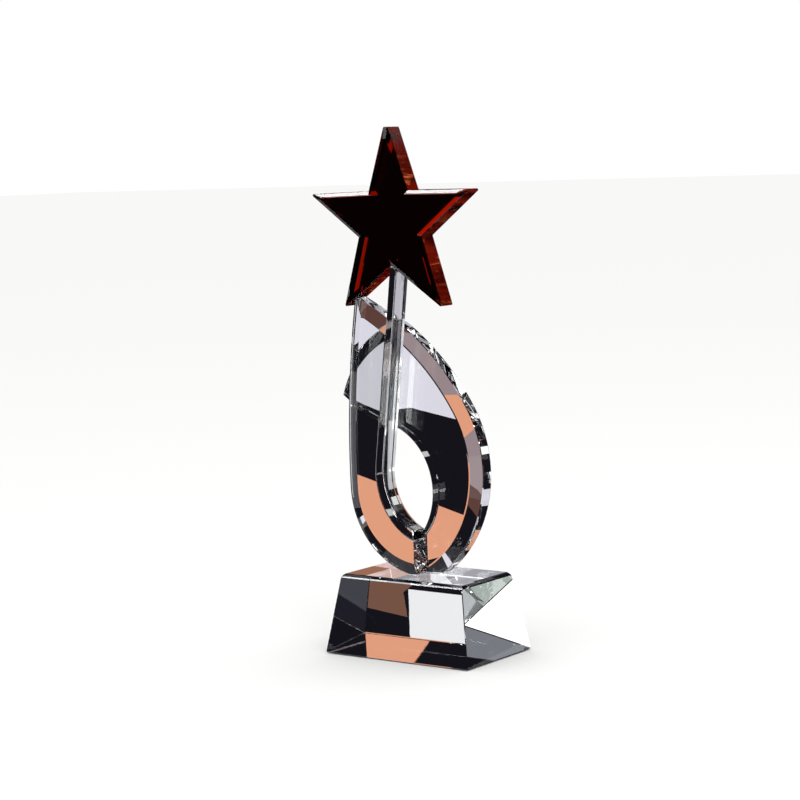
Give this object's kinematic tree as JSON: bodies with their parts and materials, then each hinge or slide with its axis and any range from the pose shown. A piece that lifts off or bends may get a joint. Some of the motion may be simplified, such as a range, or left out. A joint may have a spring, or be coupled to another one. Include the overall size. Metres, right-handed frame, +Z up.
{
  "type": "star trophy",
  "caption": "Crystal trophy: an amber star on a slim leaning stem, held between two curved clear wings on a clear base.",
  "frame": {"origin": "middle of the base's underside, on the surface it stands on", "axes": "+Z up, +X to the right seen from the front, -Y towards the front"},
  "size_m": [0.0977, 0.055, 0.258],
  "materials": {
    "clear_crystal": "ground and polished clear crystal",
    "amber_crystal": "ground and polished dark amber crystal",
    "clear_adhesive": "clear cured adhesive film"
  },
  "bodies": {
    "root": {"base_block": "clear_crystal", "left_wing": "clear_crystal", "right_wing": "clear_crystal", "stem": "clear_crystal", "star": "amber_crystal", "left_foot_bond": "clear_adhesive", "right_foot_bond": "clear_adhesive", "stem_bond": "clear_adhesive", "wing_bond": "clear_adhesive", "star_bond": "clear_adhesive"}
  },
  "joints": []
}
